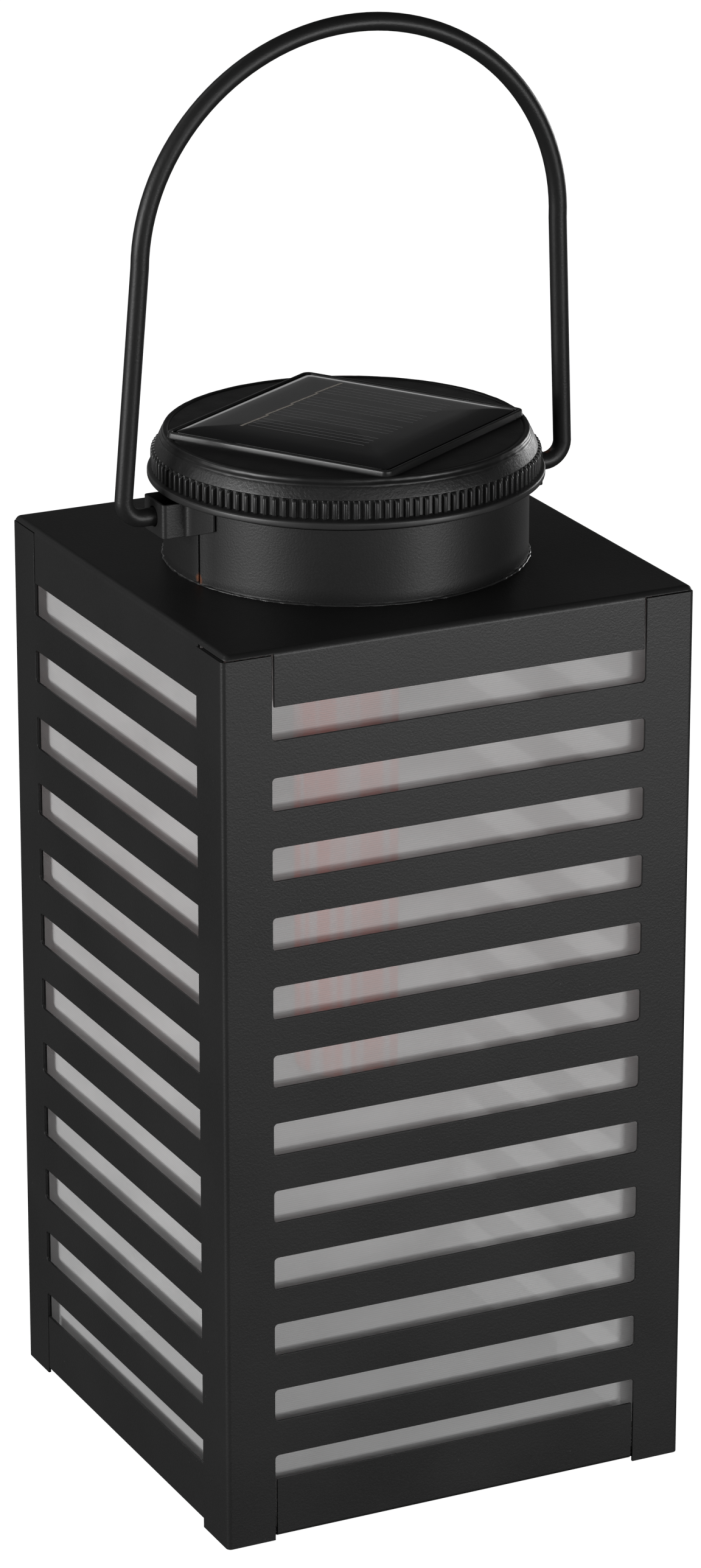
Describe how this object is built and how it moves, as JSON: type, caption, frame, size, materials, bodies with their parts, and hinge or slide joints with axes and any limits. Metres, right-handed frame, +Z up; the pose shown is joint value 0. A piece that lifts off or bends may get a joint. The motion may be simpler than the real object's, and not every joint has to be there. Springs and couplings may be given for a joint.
{
  "type": "solar lantern",
  "caption": "Square slotted metal lantern with a frosted liner, a round lift-out solar cap with a hanging lamp, and a wire bail handle.",
  "frame": {"origin": "on the resting plane, under the centre of the square body", "axes": "+Z up; X along the handle's pivot line; the front face looks along -Y"},
  "size_m": [0.14, 0.14, 0.4072],
  "materials": {
    "painted_sheet": "black powder coat, fine grain, satin",
    "black_plastic": "moulded black plastic, satin and grained",
    "frosted_sheet": "translucent frosted plastic, fine horizontal lines",
    "seal_rubber": "soft black rubber",
    "cell_silicon": "dark silicon wafer",
    "clear_resin": "cast resin, glossy",
    "plated_steel": "plated steel",
    "green_board": "solder-masked board",
    "chip_black": "black moulded component",
    "cell_wrap": "printed shrink wrap",
    "phosphor": "warm phosphor on a flexible circuit",
    "red_wire": "red insulated wire",
    "black_wire": "black insulated wire"
  },
  "bodies": {
    "lantern_body": {"body_shell": "painted_sheet", "lid": "painted_sheet", "base_tray": "painted_sheet", "diffuser_liner": "frosted_sheet", "collar": "painted_sheet", "collar_bead": "black_plastic", "bracket_left": "painted_sheet", "bracket_right": "painted_sheet"},
    "handle": {"handle": "painted_sheet"},
    "seal": {"seal_ring": "seal_rubber"},
    "switch": {"switch_knob": "black_plastic"},
    "cap": {"lamp_tube": "frosted_sheet", "lamp_tip": "frosted_sheet", "lamp_core": "frosted_sheet", "cap_cover": "black_plastic", "lower_housing": "black_plastic", "battery_cover": "black_plastic", "solar_backing": "chip_black", "controller_chip": "chip_black", "choke_coil": "chip_black", "solar_cell_1": "cell_silicon", "solar_cell_2": "cell_silicon", "solar_cell_3": "cell_silicon", "solar_cell_4": "cell_silicon", "resin_dome": "clear_resin", "cell_ribbon": "plated_steel", "housing_screw_1": "plated_steel", "housing_screw_2": "plated_steel", "housing_screw_3": "plated_steel", "battery_spring": "plated_steel", "battery_plate": "plated_steel", "battery_cover_screw": "plated_steel", "capacitor": "plated_steel", "board_screw_1": "plated_steel", "board_screw_2": "plated_steel", "switch_body": "plated_steel", "battery": "cell_wrap", "circuit_board": "green_board", "led_sheet": "phosphor", "panel_lead_red": "red_wire", "battery_lead_red": "red_wire", "lamp_lead_red": "red_wire", "panel_lead_black": "black_wire", "battery_lead_black": "black_wire", "lamp_lead_black": "black_wire"}
  },
  "joints": [
    {"name": "handle_swing", "type": "hinge", "parent": "lantern_body", "child": "handle", "pos_m": [0, 0, 0.2743], "axis": [1, 0, 0], "range_deg": [-104, 98]},
    {"name": "cap_lift", "type": "slide", "parent": "lantern_body", "child": "seal", "axis": [0, 0, 1], "range_m": [0, 0.08]},
    {"name": "cap_turn", "type": "hinge", "parent": "seal", "child": "cap", "pos_m": [0, 0, 0.2793], "axis": [0, 0, 1], "continuous": true},
    {"name": "switch_slide", "type": "slide", "parent": "cap", "child": "switch", "axis": [1, 0, 0], "range_m": [0, 0.003]}
  ]
}
